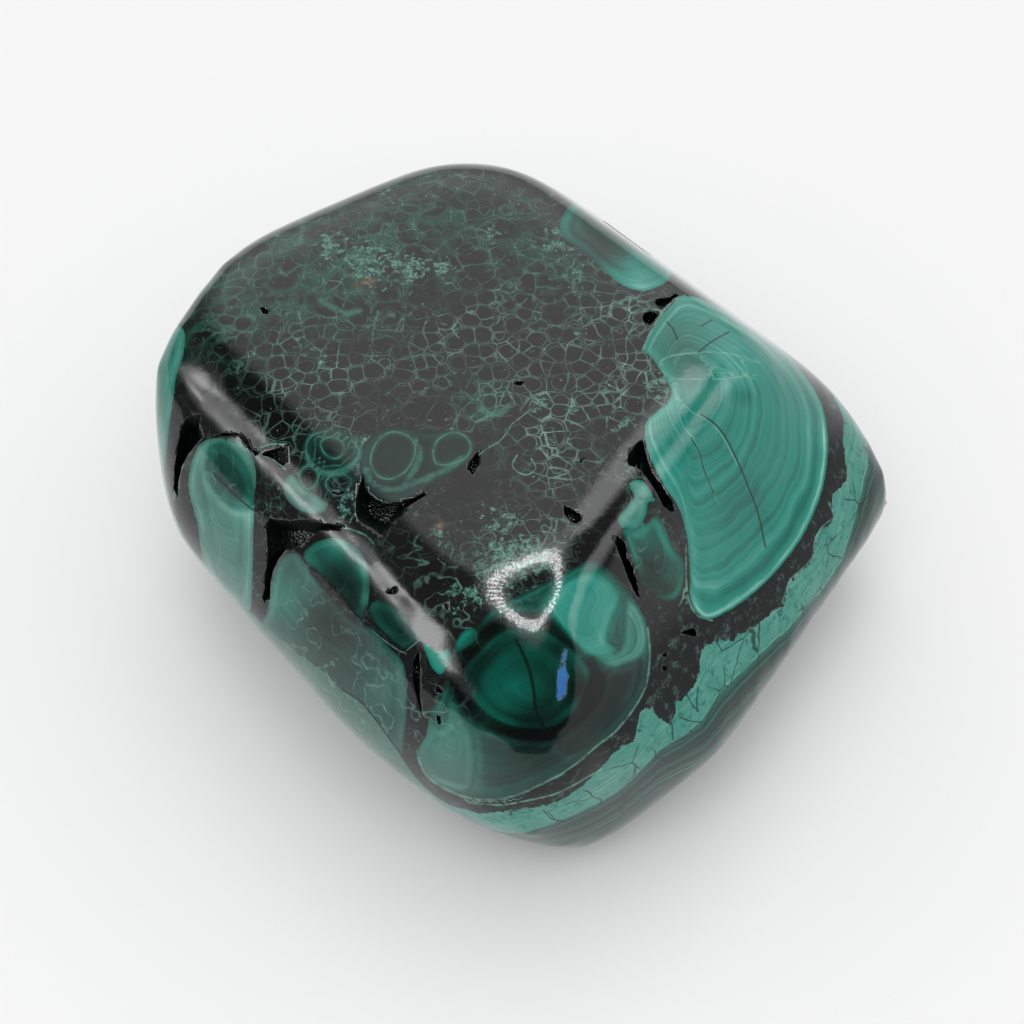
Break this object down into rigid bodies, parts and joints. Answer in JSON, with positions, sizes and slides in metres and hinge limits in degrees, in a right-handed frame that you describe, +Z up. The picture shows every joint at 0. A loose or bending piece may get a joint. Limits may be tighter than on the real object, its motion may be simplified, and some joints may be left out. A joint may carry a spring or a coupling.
{
  "type": "malachite specimen",
  "caption": "Tumbled and polished freeform piece of malachite with rounded facets and open clefts, which rests on its flat base.",
  "frame": {"origin": "middle of the stone's box, on the flat base it rests on", "axes": "+Z up from the base, -Y towards the rounded nose below the top face, +X towards the wedge-shaped corner"},
  "size_m": [0.0538, 0.056, 0.028],
  "materials": {
    "polished_malachite": "polished natural malachite: green bands and orbs in a charcoal matrix, glossy, with rough dark clefts"
  },
  "bodies": {
    "root": {"malachite_stone": "polished_malachite"}
  },
  "joints": []
}
